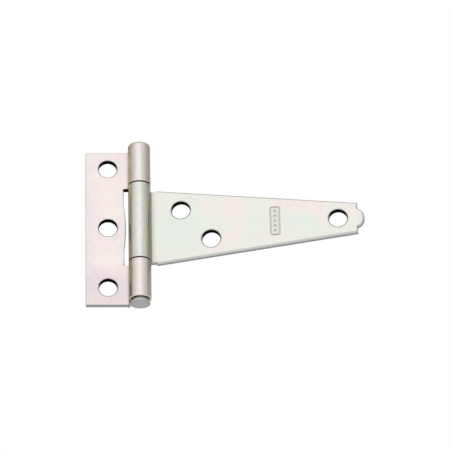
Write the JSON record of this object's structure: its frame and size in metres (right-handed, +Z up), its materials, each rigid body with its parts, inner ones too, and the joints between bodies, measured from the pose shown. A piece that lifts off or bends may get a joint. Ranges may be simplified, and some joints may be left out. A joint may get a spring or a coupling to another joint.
{
  "type": "t hinge",
  "caption": "Light zinc-plated steel T hinge: a narrow screw-on cross plate and a tapering strap with a shouldered round point, joined by rolled knuckles on a headed pin.",
  "frame": {"origin": "centre of the cross plate's middle screw hole, on the mounting plane (the back of the plate)", "axes": "+Z up along the pin, +X from the plate towards the strap, +Y into the post or gate; the barrel stands proud towards -Y. The pin axis is parallel to Z through x 7.15 mm, y -2.55 mm."},
  "size_m": [0.063, 0.0072, 0.0402],
  "materials": {
    "zinc_plated_sheet": "bright zinc plate over rolled steel, with a faint pink and green passivate film",
    "zinc_plated_pin": "duller zinc plate on a headed wire pin"
  },
  "bodies": {
    "plate": {"cross_plate": "zinc_plated_sheet", "hinge_pin": "zinc_plated_pin"},
    "strap": {"strap": "zinc_plated_sheet"}
  },
  "joints": [
    {"name": "strap_swing", "type": "hinge", "parent": "plate", "child": "strap", "pos_m": [0.00715, -0.00255, 0], "axis": [0, 0, -1], "range_deg": [-106.5, 173.5]}
  ]
}
